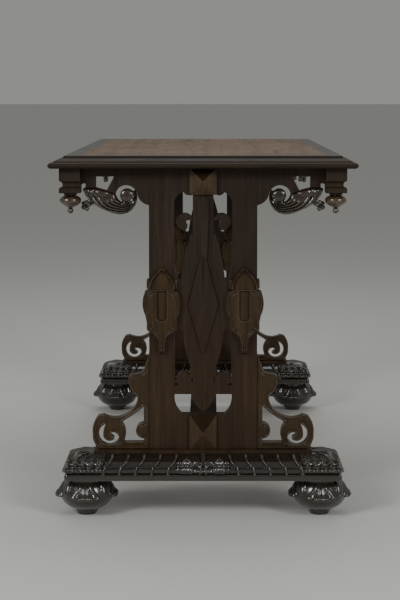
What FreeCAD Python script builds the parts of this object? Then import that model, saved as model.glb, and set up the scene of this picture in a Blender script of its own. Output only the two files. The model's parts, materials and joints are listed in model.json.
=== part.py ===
import FreeCAD, Part
import math
import os

import Sketcher
from FreeCAD import Vector

# A carved communion table on two trestle ends, in millimetres.
# X runs across the table, Y along it and Z up. The origin is on the floor, under the middle.
# Each trestle is drawn with its outer face towards -Y; the far one is the near one turned half round.

DOC = FreeCAD.newDocument("CommunionTable")
SHEET = DOC.addObject("Spreadsheet::Sheet", "Sizes")
NODES = []
CUTS = []

DRIVING_SIZES = {
    # The top: a field in a mitred border, with a moulding planted round the edge.
    "table_height": 762,
    "table_length": 1220,
    "table_width": 646,
    "top_thickness": 26,
    "border_width": 33,
    "moulding_reach": 31,
    "quirk_depth": 4.5,
    # The frame under the top.
    "frame_width": 602,
    "frame_length": 1176,
    "rail_depth": 18,
    "rail_thickness": 22,
    "block_side": 44,
    "block_height": 52,
    "block_fillet": 10,
    "scotia_depth": 7,
    "bearer_width": 20,
    "screw_spread": 180,
    # The trestle ends.
    "trestle_spacing": 1110,
    "panel_half_width": 114,
    "panel_thickness": 26,
    "panel_foot": 140,
    "post_width": 52.2,
    "board_thickness": 22,
    "tenon_thickness": 12,
    "tenon_length": 30,
    "volute_thickness": 26,
    "volute_eye": 14.4,
    "opening_top": 685,
    "upper_disc_radius": 17.6,
    "upper_disc_level": 622.5,
    "lower_disc_radius": 15.5,
    "lower_disc_level": 288,
    "arm_top": 276,
    "arm_foot": 257,
    "boss_height": 16,
    "tile_width": 57,
    "tile_height": 74,
    "tile_edge": 6,
    "tile_rise": 14,
    "cartouche_centre": 87,
    "cartouche_thickness": 12,
    # The base of a trestle and its two feet.
    "plinth_half_width": 230,
    "plinth_half_depth": 26,
    "plinth_height": 8,
    "base_half_width": 291.6,
    "base_half_depth": 58,
    "base_foot": 82,
    "base_end_run": 47,
    "base_front_run": 30,
    "foot_spread": 247.5,
    "foot_radius": 60,
    "foot_neck": 46,
    "foot_pad": 24,
    # The rail that joins the trestles near the floor.
    "stretcher_top": 207,
    "stretcher_depth": 60,
    "stretcher_width": 57,
    "bolt_radius": 4,
    "bolt_length": 80,
    # The turned pendants under the corner blocks.
    "pendant_radius": 23,
    "pendant_drop": 44,
}


class Size:
    """A length that keeps its value together with the sheet formula that gives it."""

    def __init__(self, value, formula):
        self.value = value
        self.formula = formula

    def __add__(self, other):
        other = as_size(other)
        return Size(self.value + other.value, f"({self.formula} + {other.formula})")

    def __sub__(self, other):
        return self + as_size(other) * -1

    def __rsub__(self, other):
        return as_size(other) - self

    def __mul__(self, factor):
        return Size(self.value * factor, f"({self.formula} * ({factor:g}))")

    def __truediv__(self, divisor):
        return self * (1 / divisor)

    def __neg__(self):
        return self * -1

    __radd__ = __add__
    __rmul__ = __mul__


def as_size(number):
    """Turn a plain number into a Size; a Size stays as it is."""
    if isinstance(number, Size):
        return number
    return Size(float(number), f"({number:g})")


def fill_sheet():
    """Write every driving size in the sheet and return them by name."""
    sizes = {}
    for row, (name, number) in enumerate(DRIVING_SIZES.items(), start=1):
        SHEET.set(f"A{row}", name)
        SHEET.set(f"B{row}", str(number))
        SHEET.setAlias(f"B{row}", name)
        sizes[name] = Size(float(number), f"Sizes.{name}")
    DOC.recompute()
    return sizes


S = fill_sheet()


# ---- drawing and feature helpers -------------------------------------------------------------


def bind(item, path, size):
    """Tie one property of an object to the sheet."""
    item.setExpression(path, as_size(size).formula)


def move(piece, x=0, y=0, z=0):
    """Place a piece, with its position tied to the sheet."""
    for axis, distance in zip("xyz", (x, y, z)):
        bind(piece, f".Placement.Base.{axis}", distance)
    return piece


def turn(piece):
    """Turn a piece half round about the vertical axis."""
    piece.Placement = FreeCAD.Placement(Vector(), FreeCAD.Rotation(Vector(0, 0, 1), 180))
    return piece


def keep(piece):
    """List a finished piece for checking and export."""
    NODES.append(piece)
    return piece


def new_body(label):
    """Start a body; a body may hold several matching solids."""
    body = DOC.addObject("PartDesign::Body", label)
    body.Label = label
    body.AllowCompound = True
    return body


def new_sketch(body, role, offset=0):
    """Start a sketch on one of the body's own planes, moved along the plane's normal."""
    plane = next(item for item in body.Origin.OriginFeatures if item.Role == role)
    sketch = body.newObject("Sketcher::SketchObject", body.Name + "Sketch")
    sketch.AttachmentSupport = [(plane, "")]
    sketch.MapMode = "FlatFace"
    bind(sketch, "AttachmentOffset.Base.z", offset)
    return sketch


def fix(sketch, kind, *place_and_size):
    """Add a dimension to a sketch and tie it to the sheet."""
    *place, size = place_and_size
    size = as_size(size)
    index = sketch.addConstraint(Sketcher.Constraint(kind, *place, size.value))
    bind(sketch, f"Constraints[{index}]", size)


def arc_edge(start, end, radius):
    """The short arc between two points, bulging to the left of travel if the radius is positive."""
    chord = end - start
    half = chord.Length / 2
    rise = math.sqrt(max(radius**2 - half**2, 0))
    left = Vector(-chord.y, chord.x, 0).normalize()
    centre = (start + end) / 2 - left * math.copysign(rise, radius)
    circle = Part.Circle(centre, Vector(0, 0, 1), abs(radius))
    first, last = (end, start) if radius > 0 else (start, end)
    angles = [math.atan2(point.y - centre.y, point.x - centre.x) for point in (first, last)]
    return Part.ArcOfCircle(circle, *angles)


def draw(sketch, outline):
    """Draw a closed outline of (x, y) or (x, y, radius) corners.

    The radius is that of the arc that arrives at the corner. It is positive where the arc
    bulges to the left of travel.
    """
    corners = [(as_size(x), as_size(y), *bend) for x, y, *bend in outline]
    places = [Vector(x.value, y.value, 0) for x, y, *bend in corners]
    ends = []
    for index, (x, y, *bend) in enumerate(corners):
        start, end = places[index - 1], places[index]
        if bend:
            radius = as_size(bend[0])
            edge = sketch.addGeometry(arc_edge(start, end, radius.value))
            ends.append((edge, 2, 1) if radius.value > 0 else (edge, 1, 2))
            if radius.value < 0:
                radius = -radius
            fix(sketch, "Radius", edge, radius)
        else:
            edge = sketch.addGeometry(Part.LineSegment(start, end))
            ends.append((edge, 1, 2))
    for index, (x, y, *bend) in enumerate(corners):
        edge, _, last = ends[index]
        following, first, _ = ends[(index + 1) % len(ends)]
        sketch.addConstraint(Sketcher.Constraint("Coincident", edge, last, following, first))
        fix(sketch, "DistanceX", -1, 1, edge, last, x)
        fix(sketch, "DistanceY", -1, 1, edge, last, y)


def draw_circle(sketch, x, y, radius):
    """Draw a circle with its centre and radius tied to the sheet."""
    x, y, radius = as_size(x), as_size(y), as_size(radius)
    circle = Part.Circle(Vector(x.value, y.value, 0), Vector(0, 0, 1), radius.value)
    edge = sketch.addGeometry(circle)
    fix(sketch, "DistanceX", -1, 1, edge, 3, x)
    fix(sketch, "DistanceY", -1, 1, edge, 3, y)
    fix(sketch, "Radius", edge, radius)


def rectangle(half_x, low_y, high_y):
    """A rectangle centred on the vertical axis."""
    return [(-half_x, low_y), (half_x, low_y), (half_x, high_y), (-half_x, high_y)]


def oblong(low_x, high_x, low_y, high_y):
    """A rectangle between two corners."""
    return [(low_x, low_y), (high_x, low_y), (high_x, high_y), (low_x, high_y)]


def mirrored(points, top=None):
    """Close a symmetrical outline from its right-hand points, listed upwards.

    The radius of the arc across the top is given apart, if there is one.
    """
    bends = [point[2:] for point in points[1:]] + [(top,) if top else ()]
    left = [(-x, y, *bend) for (x, y, *_), bend in zip(points, bends)]
    return list(points) + left[::-1]


def sided(outline, side, shift=0):
    """Draw a right-hand outline on either side of the vertical axis, moved out by a shift."""
    return [(side * (shift + x), y, *[side * radius for radius in bend]) for x, y, *bend in outline]


def pad(body, sketch, length, both_ways=False):
    """Raise a sketch into material."""
    feature = body.newObject("PartDesign::Pad", body.Name + "Pad")
    feature.Profile = sketch
    bind(feature, "Length", length)
    feature.Midplane = both_ways
    return feature


def pocket(body, sketch, length, both_ways=False, upwards=False):
    """Cut a sketch out of the material behind it, or in front of it if upwards."""
    feature = body.newObject("PartDesign::Pocket", body.Name + "Pocket")
    feature.Profile = sketch
    bind(feature, "Length", length)
    feature.Midplane = both_ways
    feature.Reversed = upwards
    CUTS.append(feature)
    return feature


def loft(body, sections):
    """Join a row of matching sections with flat faces."""
    feature = body.newObject("PartDesign::AdditiveLoft", body.Name + "Loft")
    feature.Profile = sections[0]
    feature.Sections = sections[1:]
    feature.Ruled = True
    return feature


def turned(label, profile):
    """A lathe-turned piece: a closed profile of (radius, height) corners about the Z axis."""
    body = new_body(label)
    sketch = new_sketch(body, "XZ_Plane")
    draw(sketch, profile)
    feature = body.newObject("PartDesign::Revolution", body.Name + "Turning")
    feature.Profile = sketch
    feature.ReferenceAxis = (sketch, ["V_Axis"])
    feature.Angle = 360
    return body


def board(label, outlines, thickness, holes=(), offset=0):
    """A board sawn to its outlines, centred on the middle of the trestle, with sawn holes."""
    body = new_body(label)
    sketch = new_sketch(body, "XZ_Plane", offset)
    for outline in outlines:
        draw(sketch, outline)
    pad(body, sketch, thickness, both_ways=True)
    if holes:
        cut = new_sketch(body, "XZ_Plane", offset)
        for hole in holes:
            draw(cut, hole)
        pocket(body, cut, thickness * 2, both_ways=True)
    return body


def box(label, low, size):
    """A plain squared piece with its low corner at low."""
    piece = DOC.addObject("Part::Box", label)
    piece.Label = label
    for name, length in zip(("Length", "Width", "Height"), size):
        bind(piece, name, length)
    return move(piece, *low)


def group(label, pieces):
    """Several separate solids that share one node."""
    piece = DOC.addObject("Part::Compound", label)
    piece.Label = label
    piece.Links = pieces
    return piece


def fitted(label, blank, mates):
    """Cut the mortises and bores that a blank needs to take its mates."""
    piece = DOC.addObject("Part::Cut", label)
    piece.Label = label
    piece.Base = blank
    piece.Tool = mates[0] if len(mates) == 1 else group(label + "_mates", mates)
    return piece


# ---- places worked out from the driving sizes --------------------------------------------------

UNDERSIDE = S["table_height"] - S["top_thickness"]
RAIL_FOOT = UNDERSIDE - S["rail_depth"]
BLOCK_FOOT = UNDERSIDE - S["block_height"]
ARRIS_X = S["table_width"] / 2 - S["moulding_reach"]
ARRIS_Y = S["table_length"] / 2 - S["moulding_reach"]
FIELD_X = ARRIS_X - S["border_width"]
FIELD_Y = ARRIS_Y - S["border_width"]
BLOCK_X = (S["frame_width"] - S["block_side"]) / 2
BLOCK_Y = (S["frame_length"] - S["block_side"]) / 2
BLOCK_IN = BLOCK_X - S["block_side"] / 2
TRESTLE_Y = S["trestle_spacing"] / 2
POST_IN = S["panel_half_width"] - S["post_width"]
POST_X = S["panel_half_width"] - S["post_width"] / 2
BASE_TOP = S["panel_foot"] - S["plinth_height"]
SIDES = {"left": -1, "right": 1}


# ---- the top -----------------------------------------------------------------------------------


def strip_plan(side, across, inner, outer):
    """The mitred plan of one strip of a rectangular surround."""
    (inner_x, inner_y), (outer_x, outer_y) = inner, outer
    if across:
        ends = [(-inner_x, inner_y), (inner_x, inner_y), (outer_x, outer_y), (-outer_x, outer_y)]
        return [(x, side * y) for x, y in ends]
    ends = [(inner_x, -inner_y), (outer_x, -outer_y), (outer_x, outer_y), (inner_x, inner_y)]
    return [(side * x, y) for x, y in ends]


def mitred_strip(label, plan):
    """A strip of the top's full thickness, mitred at both ends."""
    body = new_body(label)
    sketch = new_sketch(body, "XY_Plane", UNDERSIDE)
    draw(sketch, plan)
    pad(body, sketch, S["top_thickness"])
    return body


def moulding_bar(label, side, across):
    """A straight run of edge moulding: a quirk, an ovolo, a bead and a bullnose."""
    start = ARRIS_Y if across else ARRIS_X
    top = S["table_height"] - S["quirk_depth"]
    profile = [
        (start, UNDERSIDE),
        (start + 22, UNDERSIDE),
        (start + S["moulding_reach"], UNDERSIDE + 6, -8),
        (start + 23, UNDERSIDE + 12.5, -8),
        (start + 19, UNDERSIDE + 12.5),
        (start + 19, UNDERSIDE + 14.5),
        (start, top, -34),
    ]
    body = new_body(label)
    sketch = new_sketch(body, "YZ_Plane" if across else "XZ_Plane")
    draw(sketch, sided(profile, side))
    pad(body, sketch, S["table_width"] if across else S["table_length"], both_ways=True)
    return body


def moulding(label, side, across):
    """One edge moulding, mitred where it meets its neighbours."""
    plan = strip_plan(side, across, (ARRIS_X, ARRIS_Y), (S["table_width"] / 2, S["table_length"] / 2))
    piece = DOC.addObject("Part::Common", label)
    piece.Label = label
    piece.Base = moulding_bar(label + "_bar", side, across)
    piece.Tool = mitred_strip(label + "_mitre", plan)
    return piece


def make_top(screws):
    """The field panel, bored for the screws, with its border and edge mouldings."""
    low, size = (-FIELD_X, -FIELD_Y, UNDERSIDE), (FIELD_X * 2, FIELD_Y * 2, S["top_thickness"])
    blank = box("field_blank", low, size)
    keep(fitted("field_panel", blank, [screws]))
    edges = {"left": (-1, False), "right": (1, False), "near": (-1, True), "far": (1, True)}
    for name, (side, across) in edges.items():
        plan = strip_plan(side, across, (FIELD_X, FIELD_Y), (ARRIS_X, ARRIS_Y))
        keep(mitred_strip("border_" + name, plan))
        keep(moulding("moulding_" + name, side, across))


# ---- the frame under the top -------------------------------------------------------------------


def top_screw(label, x, y):
    """A countersunk wood screw, driven up through a bearer into the top."""
    head = DOC.addObject("Part::Cone", label + "_head")
    bind(head, "Radius1", 5)
    bind(head, "Radius2", 2.5)
    bind(head, "Height", 3)
    shank = DOC.addObject("Part::Cylinder", label + "_shank")
    bind(shank, "Radius", 2.5)
    bind(shank, "Height", S["rail_depth"] + 12)
    screw = DOC.addObject("Part::Fuse", label)
    screw.Base = move(head, x, y, RAIL_FOOT)
    screw.Tool = move(shank, x, y, RAIL_FOOT)
    return screw


def make_screws():
    """Three screws through each bearer."""
    bearer_y = TRESTLE_Y - S["panel_thickness"] / 2 - S["bearer_width"] / 2
    screws = []
    for end in (-1, 1):
        for step in (-1, 0, 1):
            label = f"screw_{end + 1}_{step + 1}"
            screws.append(top_screw(label, step * S["screw_spread"], end * bearer_y))
    return keep(group("top_screws", screws))


def make_bearer(label, end, screws):
    """The cross bearer against the inner face of a trestle panel."""
    inner_y = TRESTLE_Y - S["panel_thickness"] / 2 - S["bearer_width"]
    low_y = inner_y if end > 0 else -inner_y - S["bearer_width"]
    half = S["frame_width"] / 2 - S["rail_thickness"]
    blank = box(label + "_blank", (-half, low_y, RAIL_FOOT), (half * 2, S["bearer_width"], S["rail_depth"]))
    return keep(fitted(label, blank, [screws]))


def make_side_rail(label, side):
    """A side rail between two corner blocks, with a stub tenon at each end."""
    clear = BLOCK_Y * 2 - S["block_side"]
    body = new_body(label)
    outer = S["frame_width"] / 2
    rail = new_sketch(body, "XZ_Plane")
    draw(rail, sided(oblong(outer - S["rail_thickness"], outer, RAIL_FOOT, UNDERSIDE), side))
    pad(body, rail, clear, both_ways=True)
    tenon = new_sketch(body, "XZ_Plane")
    middle = outer - S["rail_thickness"] / 2
    cheek = S["tenon_thickness"] / 2
    draw(tenon, sided(oblong(middle - cheek, middle + cheek, RAIL_FOOT + 3, UNDERSIDE - 3), side))
    pad(body, tenon, clear + S["tenon_length"], both_ways=True)
    return keep(body)


def block_blank(label, side, end):
    """A square corner block with a scotia worked on its two outer faces."""
    half = S["block_side"] / 2
    low, high = BLOCK_FOOT + S["block_fillet"], BLOCK_FOOT + S["block_fillet"] + 15
    body = new_body(label)
    plan = new_sketch(body, "XY_Plane", BLOCK_FOOT)
    draw(plan, rectangle(half, -half, half))
    pad(body, plan, S["block_height"])
    for role, outward in (("XZ_Plane", side), ("YZ_Plane", end)):
        scotia = new_sketch(body, role)
        depth = S["scotia_depth"]
        hollow = [
            (half + 1, low),
            (half + 1, high),
            (half, high),
            (half - depth, high - depth, -depth),
            (half - depth, low + depth / 2),
            (half, low),
        ]
        draw(scotia, sided(hollow, outward))
        pocket(body, scotia, S["block_side"] * 2, both_ways=True)
    return move(body, side * BLOCK_X, end * BLOCK_Y)


def pendant_profile():
    """A turnip-shaped drop ending in a small ball, with the spigot that holds it in its block."""
    low = BLOCK_FOOT - S["pendant_drop"]
    drop = S["pendant_radius"]
    return [
        (0, low),
        (6.4, low + 6.4, -6.4),
        (3.5, low + 11.8, -6.4),
        (9, low + 13.5),
        (drop, low + 26, -21),
        (17, low + 36, -10.5),
        (11.5, low + 37.5),
        (11.5, BLOCK_FOOT),
        (6, BLOCK_FOOT),
        (6, BLOCK_FOOT + 15),
        (0, BLOCK_FOOT + 15),
    ]


def make_corners(rails):
    """Four corner blocks, and the turned pendants under them."""
    pendants = []
    for end_name, end in (("near", -1), ("far", 1)):
        for side_name, side in SIDES.items():
            place = f"{end_name}_{side_name}"
            pendant = turned("pendant_" + place, pendant_profile())
            pendants.append(move(pendant, side * BLOCK_X, end * BLOCK_Y))
            blank = block_blank(f"corner_{place}_blank", side, end)
            keep(fitted("corner_block_" + place, blank, [pendant, rails[side_name]]))
    keep(group("pendant_finials", pendants))


# ---- a trestle end -----------------------------------------------------------------------------


def stand(piece, end, face=1):
    """Stand a piece in a trestle: end is -1 for the near one, face is -1 for its inner side."""
    if end * face > 0:
        turn(piece)
    return move(piece, 0, end * TRESTLE_Y)


def post(label, side):
    """An upright post of the pierced panel, with a tenon below."""
    low, high = S["panel_foot"], UNDERSIDE
    outline = sided(oblong(POST_IN, S["panel_half_width"], low, high), side)
    body = board(label, [outline], S["panel_thickness"])
    tenon = new_sketch(body, "XZ_Plane")
    half = S["post_width"] / 2 - 10
    draw(tenon, sided(oblong(POST_X - half, POST_X + half, low - S["tenon_length"], low + 1), side))
    pad(body, tenon, S["tenon_thickness"], both_ways=True)
    return body


def upper_opening(side):
    """The tall opening beside the stile: arched above, tapering down beside the lozenge."""
    outline = [
        (21.7, S["opening_top"]),
        (21.7, 604),
        (46, 501, 450),
        (53, 501, 4),
        (POST_IN, 530),
        (POST_IN, 650),
        (45, S["opening_top"], -32),
    ]
    return sided(outline, side)


def lower_opening(side):
    """The opening beside the lower half of the lozenge, down to the cross arms."""
    edge = POST_IN - 1.5
    outline = [
        (30, S["arm_top"]),
        (edge, S["arm_top"]),
        (edge, 388),
        (41.5, 388, -9.5),
        (36, 346, 150),
        (27, 316),
    ]
    return sided(outline, side)


def foot_opening():
    """The opening under the arms, round the hanging tip of the lozenge."""
    edge = POST_IN - 1.5
    right = [(45, 214), (edge, 254, -42), (edge, S["arm_foot"]), (25, S["arm_foot"]), (6, 224, 60)]
    return mirrored(right, top=8)


def eye_gap(side):
    """The gap that frees the eye of an upper scroll disc from the stile."""
    outline = [(22, 596), (46, 596), (46, 603), (34.5, 608, 12), (37, 620, 8), (34, 626), (22, 626)]
    return sided(outline, side)


def fret_panel(label):
    """The pierced panel between the posts: a stile, a lozenge, two pairs of discs and a pair of cusps."""
    thickness = S["panel_thickness"]
    blank = rectangle(POST_IN, S["panel_foot"], UNDERSIDE)
    openings = [opening(side) for opening in (upper_opening, lower_opening) for side in (-1, 1)]
    body = board(label, [blank], thickness, openings + [foot_opening()])
    discs = new_sketch(body, "XZ_Plane")
    gaps = new_sketch(body, "XZ_Plane")
    for side in (-1, 1):
        draw_circle(discs, side * 39, S["upper_disc_level"], S["upper_disc_radius"])
        draw_circle(discs, side * 41, S["lower_disc_level"], S["lower_disc_radius"])
        draw_circle(discs, side * 32, S["opening_top"] + 3, 9)
        draw(gaps, eye_gap(side))
        draw_circle(gaps, side * 23, S["lower_disc_level"], 5.5)
    pad(body, discs, thickness, both_ways=True)
    pocket(body, gaps, thickness * 2, both_ways=True)
    return body


def raised_facets(body, base, peak, floor, rise):
    """Raise flat facets from a base outline to a small peak."""
    sections = []
    for outline, height in ((base, floor), (peak, floor + rise)):
        section = new_sketch(body, "XZ_Plane", height)
        draw(section, outline)
        sections.append(section)
    return loft(body, sections)


def lozenge_boss(label):
    """The raised ornament on the lozenge: a rounded tongue over a long faceted diamond."""
    face = S["panel_thickness"] / 2
    body = new_body(label)
    tongue = new_sketch(body, "XZ_Plane", face)
    draw(tongue, mirrored([(8, 545), (12, 640), (12, 665)], top=-12.001))
    pad(body, tongue, S["boss_height"] / 5)
    middle, half_width, half_height = 448, 31.4, 103.5
    low, high = middle - half_height, middle + half_height
    diamond = mirrored([(1.5, low), (half_width, middle), (5.5, high - 4), (2.5, high)])
    seat = new_sketch(body, "XZ_Plane", face)
    draw(seat, diamond)
    pad(body, seat, S["boss_height"] / 4)
    peak = [(x / 40, middle + (y - middle) / 40) for x, y in diamond]
    raised_facets(body, diamond, peak, face + S["boss_height"] / 4, S["boss_height"] * 3 / 4)
    return body


def facet_tile(label, foot, top):
    """A square-edged tile whose four facets meet in the middle."""
    face = S["panel_thickness"] / 2
    half = S["tile_width"] / 2
    outline = rectangle(half, foot, top)
    body = new_body(label)
    seat = new_sketch(body, "XZ_Plane", face)
    draw(seat, outline)
    pad(body, seat, S["tile_edge"])
    middle = (foot + top) / 2
    peak = rectangle(half / 40, middle - 1, middle + 1)
    raised_facets(body, outline, peak, face + S["tile_edge"], S["tile_rise"])
    return body


def cartouches(label):
    """The pair of planted cartouches, each with a sunk tablet and a ribbed drop."""
    face = S["panel_thickness"] / 2
    right_half = [
        (8.5, 346),
        (8.5, 361),
        (26.5, 390, 30),
        (32, 395),
        (32, 411),
        (35, 425),
        (36, 474, -60),
        (26.5, 479),
        (32, 483),
        (32, 500),
        (24, 498.5),
        (9.5, 518, -35),
    ]
    tablet = [(6, 414), (10.6, 420), (10.6, 479)]
    body = new_body(label)
    outlines = new_sketch(body, "XZ_Plane", face)
    tablets = new_sketch(body, "XZ_Plane", face + S["cartouche_thickness"])
    for side in (-1, 1):
        centre = side * S["cartouche_centre"]
        outline = mirrored(right_half, top=-9.501)
        draw(outlines, [(centre + x, y, *bend) for x, y, *bend in outline])
        draw(tablets, [(centre + x, y) for x, y in mirrored(tablet)])
    pad(body, outlines, S["cartouche_thickness"])
    pocket(body, tablets, 3)
    return body


def scroll_bracket(label, side):
    """The scrolled board that braces the panel's foot, pierced beside and inside its scroll."""
    low, edge = S["panel_foot"], S["panel_half_width"]
    outline = [
        (0, low),
        (107, low),
        (120, 172, -38),
        (108, 210, -45),
        (97, 212.5),
        (66, 207, 50),
        (36, 223, 60),
        (25, 250, 40),
        (44, 289, -47),
        (36, 298.5, -9),
        (17, 302.5),
        (9.7, 315, 15),
        (0, 346, 120),
    ]
    opening = [
        (11.5, 154),
        (55, 154),
        (59, 196, 35),
        (54, 200),
        (11.5, 231, 230),
        (11.5, 195.5),
        (11.5, 161.5, 17.001),
    ]
    spiral_slot = [
        (92, 193, -40),
        (107.5, 171, 24),
        (85, 147.5, 23),
        (64.5, 163, 22),
        (79, 174.5, 12),
        (79, 167, 3.76),
        (75, 160, -7),
        (97.5, 166, -14),
    ]
    holes = [sided(hole, side, edge) for hole in (opening, spiral_slot)]
    return board(label, [sided(outline, side, edge)], S["board_thickness"], holes)


def upper_bracket(label, side):
    """The board from the panel out to the corner block, arched over the eye of its volute."""
    edge = S["panel_half_width"]
    outline = [
        (edge, 657.6),
        (138.3, 679.8, -30),
        (184.5, 681.7, 23.6),
        (202.8, 688.4),
        (187, RAIL_FOOT),
        (226, RAIL_FOOT),
        (226, 695),
        (247, 695),
        (247, 702.5),
        (251.5, 703, 4),
        (BLOCK_IN, 700, 8),
        (BLOCK_IN, UNDERSIDE),
        (edge, UNDERSIDE),
    ]
    return board(label, [sided(outline, side)], S["board_thickness"])


def volute(label, side):
    """The carved leaf under an upper bracket, whose stem winds round into a free eye."""
    eye = S["volute_eye"]
    outline = [
        (202.8, 688.4),
        (184.5, 681.7),
        (172, 664, 23.6),
        (170.5, 667.3),
        (165, 691.5, -eye),
        (149, 686.5, -eye),
        (143.2, 689.4),
        (139.3, 674, -30),
        (152.8, 645, -32),
        (189.4, 639.7, -40),
        (239.4, 666.3, -110),
        (253, 692, -45),
        (247, 695),
        (226, 695),
    ]
    return board(label, [sided(outline, side)], S["volute_thickness"])


def plinth(label):
    """The thin plinth that the panel and its brackets stand on."""
    half_x, half_y = S["plinth_half_width"], S["plinth_half_depth"]
    body = new_body(label)
    plan = new_sketch(body, "XY_Plane", BASE_TOP)
    draw(plan, rectangle(half_x, -half_y, half_y))
    pad(body, plan, S["plinth_height"])
    return body


def base(label):
    """The carved base block: a square band, a torus, a groove and a long slope."""
    half_x, half_y = S["base_half_width"], S["base_half_depth"]
    end_run, front_run = S["base_end_run"], S["base_front_run"]
    courses = [(0, 0), (13, 0), (15, -0.05), (25, -0.05), (27, 0.12), (37, 0.2), (50, 1)]
    body = new_body(label)
    sections = []
    for height, inset in courses:
        section = new_sketch(body, "XY_Plane", S["base_foot"] + height)
        reach = half_y - front_run * inset
        draw(section, rectangle(half_x - end_run * inset, -reach, reach))
        sections.append(section)
    loft(body, sections)
    return body


def foot_profile():
    """A bun foot on a small pad, with the spigot that enters the base."""
    neck, top = S["foot_neck"], S["base_foot"]
    return [
        (0, 0),
        (S["foot_pad"], 0),
        (S["foot_pad"], 10),
        (S["foot_radius"], 46, -40),
        (neck + 2, 72, -32),
        (neck, top),
        (12, top),
        (12, top + 25),
        (0, top + 25),
    ]


def make_trestle(end_name, end):
    """Every piece of one trestle end; returns the fret panel before the stretcher is let in."""
    prefix = end_name + "_"
    posts, feet = [], []
    for name, side in SIDES.items():
        drawn = -side if end > 0 else side
        posts.append(stand(keep(post(f"{prefix}post_{name}", drawn)), end))
        foot = keep(turned(f"{prefix}foot_{name}", foot_profile()))
        feet.append(move(foot, side * S["foot_spread"], end * TRESTLE_Y))
        stand(keep(scroll_bracket(f"{prefix}scroll_bracket_{name}", drawn)), end)
        stand(keep(upper_bracket(f"{prefix}upper_bracket_{name}", drawn)), end)
        stand(keep(volute(f"{prefix}volute_{name}", drawn)), end)
    for face_name, face in (("outer", 1), ("inner", -1)):
        stand(keep(lozenge_boss(f"{prefix}{face_name}_boss")), end, face)
        stand(keep(cartouches(f"{prefix}{face_name}_cartouches")), end, face)
    tile_foot = S["panel_foot"]
    stand(keep(facet_tile(prefix + "bottom_tile", tile_foot, tile_foot + S["tile_height"])), end)
    stand(keep(facet_tile(prefix + "top_tile", S["opening_top"] - 5, UNDERSIDE)), end)
    plinth_blank = stand(plinth(prefix + "plinth_blank"), end)
    keep(fitted(prefix + "plinth", plinth_blank, posts))
    base_blank = stand(base(prefix + "base_blank"), end)
    keep(fitted(prefix + "base", base_blank, posts + feet))
    return stand(fret_panel(prefix + "fret_blank"), end)


# ---- the stretcher -----------------------------------------------------------------------------


def stretcher_blank():
    """The low rail between the trestles, with a stub tenon at each end."""
    half, top = S["stretcher_width"] / 2, S["stretcher_top"]
    foot = top - S["stretcher_depth"]
    clear = S["trestle_spacing"] - S["panel_thickness"]
    body = new_body("stretcher_blank")
    rail = new_sketch(body, "XZ_Plane")
    draw(rail, rectangle(half, foot, top))
    pad(body, rail, clear, both_ways=True)
    tenon = new_sketch(body, "XZ_Plane")
    draw(tenon, rectangle(half / 2, foot + 8, top - 8))
    pad(body, tenon, clear + S["panel_thickness"], both_ways=True)
    return body


def stretcher_bolt(label, level):
    """A coach bolt through the panel into the end of the stretcher, its head sunk flush."""
    body = new_body(label)
    face = S["panel_thickness"] / 2
    for radius, length in ((S["bolt_radius"], S["bolt_length"]), (S["bolt_radius"] * 2, 6)):
        sketch = new_sketch(body, "XZ_Plane", face)
        draw_circle(sketch, 0, level, radius)
        pad(body, sketch, length).Reversed = True
    return body


def make_bolts():
    """Two bolts at each end of the stretcher, hidden behind the bottom tiles."""
    middle = S["stretcher_top"] - S["stretcher_depth"] / 2
    bolts = []
    for end in (-1, 1):
        for step in (-1, 1):
            bolts.append(stand(stretcher_bolt(f"bolt_{end + 1}_{step + 1}", middle + step * 12), end))
    return keep(group("stretcher_bolts", bolts))


def main():
    """Build the whole table."""
    screws = make_screws()
    make_top(screws)
    rails = {name: make_side_rail("side_rail_" + name, side) for name, side in SIDES.items()}
    make_corners(rails)
    bolts = make_bolts()
    stretcher = keep(fitted("stretcher", stretcher_blank(), [bolts]))
    for end_name, end in (("near", -1), ("far", 1)):
        make_bearer(end_name + "_bearer", end, screws)
        blank = make_trestle(end_name, end)
        keep(fitted(end_name + "_fret_panel", blank, [stretcher, bolts]))


def check():
    """Stop if any object failed, any pocket cut nothing or any piece has a bad shape."""
    for item in DOC.Objects:
        if "Invalid" in item.State or "Error" in item.State:
            raise RuntimeError(f"{item.Label} failed: {item.State}")
    for cut in CUTS:
        if cut.Shape.Volume >= cut.BaseFeature.Shape.Volume - 1:
            raise RuntimeError(f"{cut.Label} removes nothing")
    for node in NODES:
        if node.Shape.isNull() or not node.Shape.isValid() or not node.Shape.Solids:
            raise RuntimeError(f"{node.Label} has a bad shape")


def export():
    """Write each piece to its own STEP file."""
    os.makedirs("parts", exist_ok=True)
    for node in NODES:
        node.Shape.exportStep(os.path.join("parts", node.Label + ".step"))


main()
DOC.recompute()
check()
export()
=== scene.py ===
import json
import math

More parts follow.
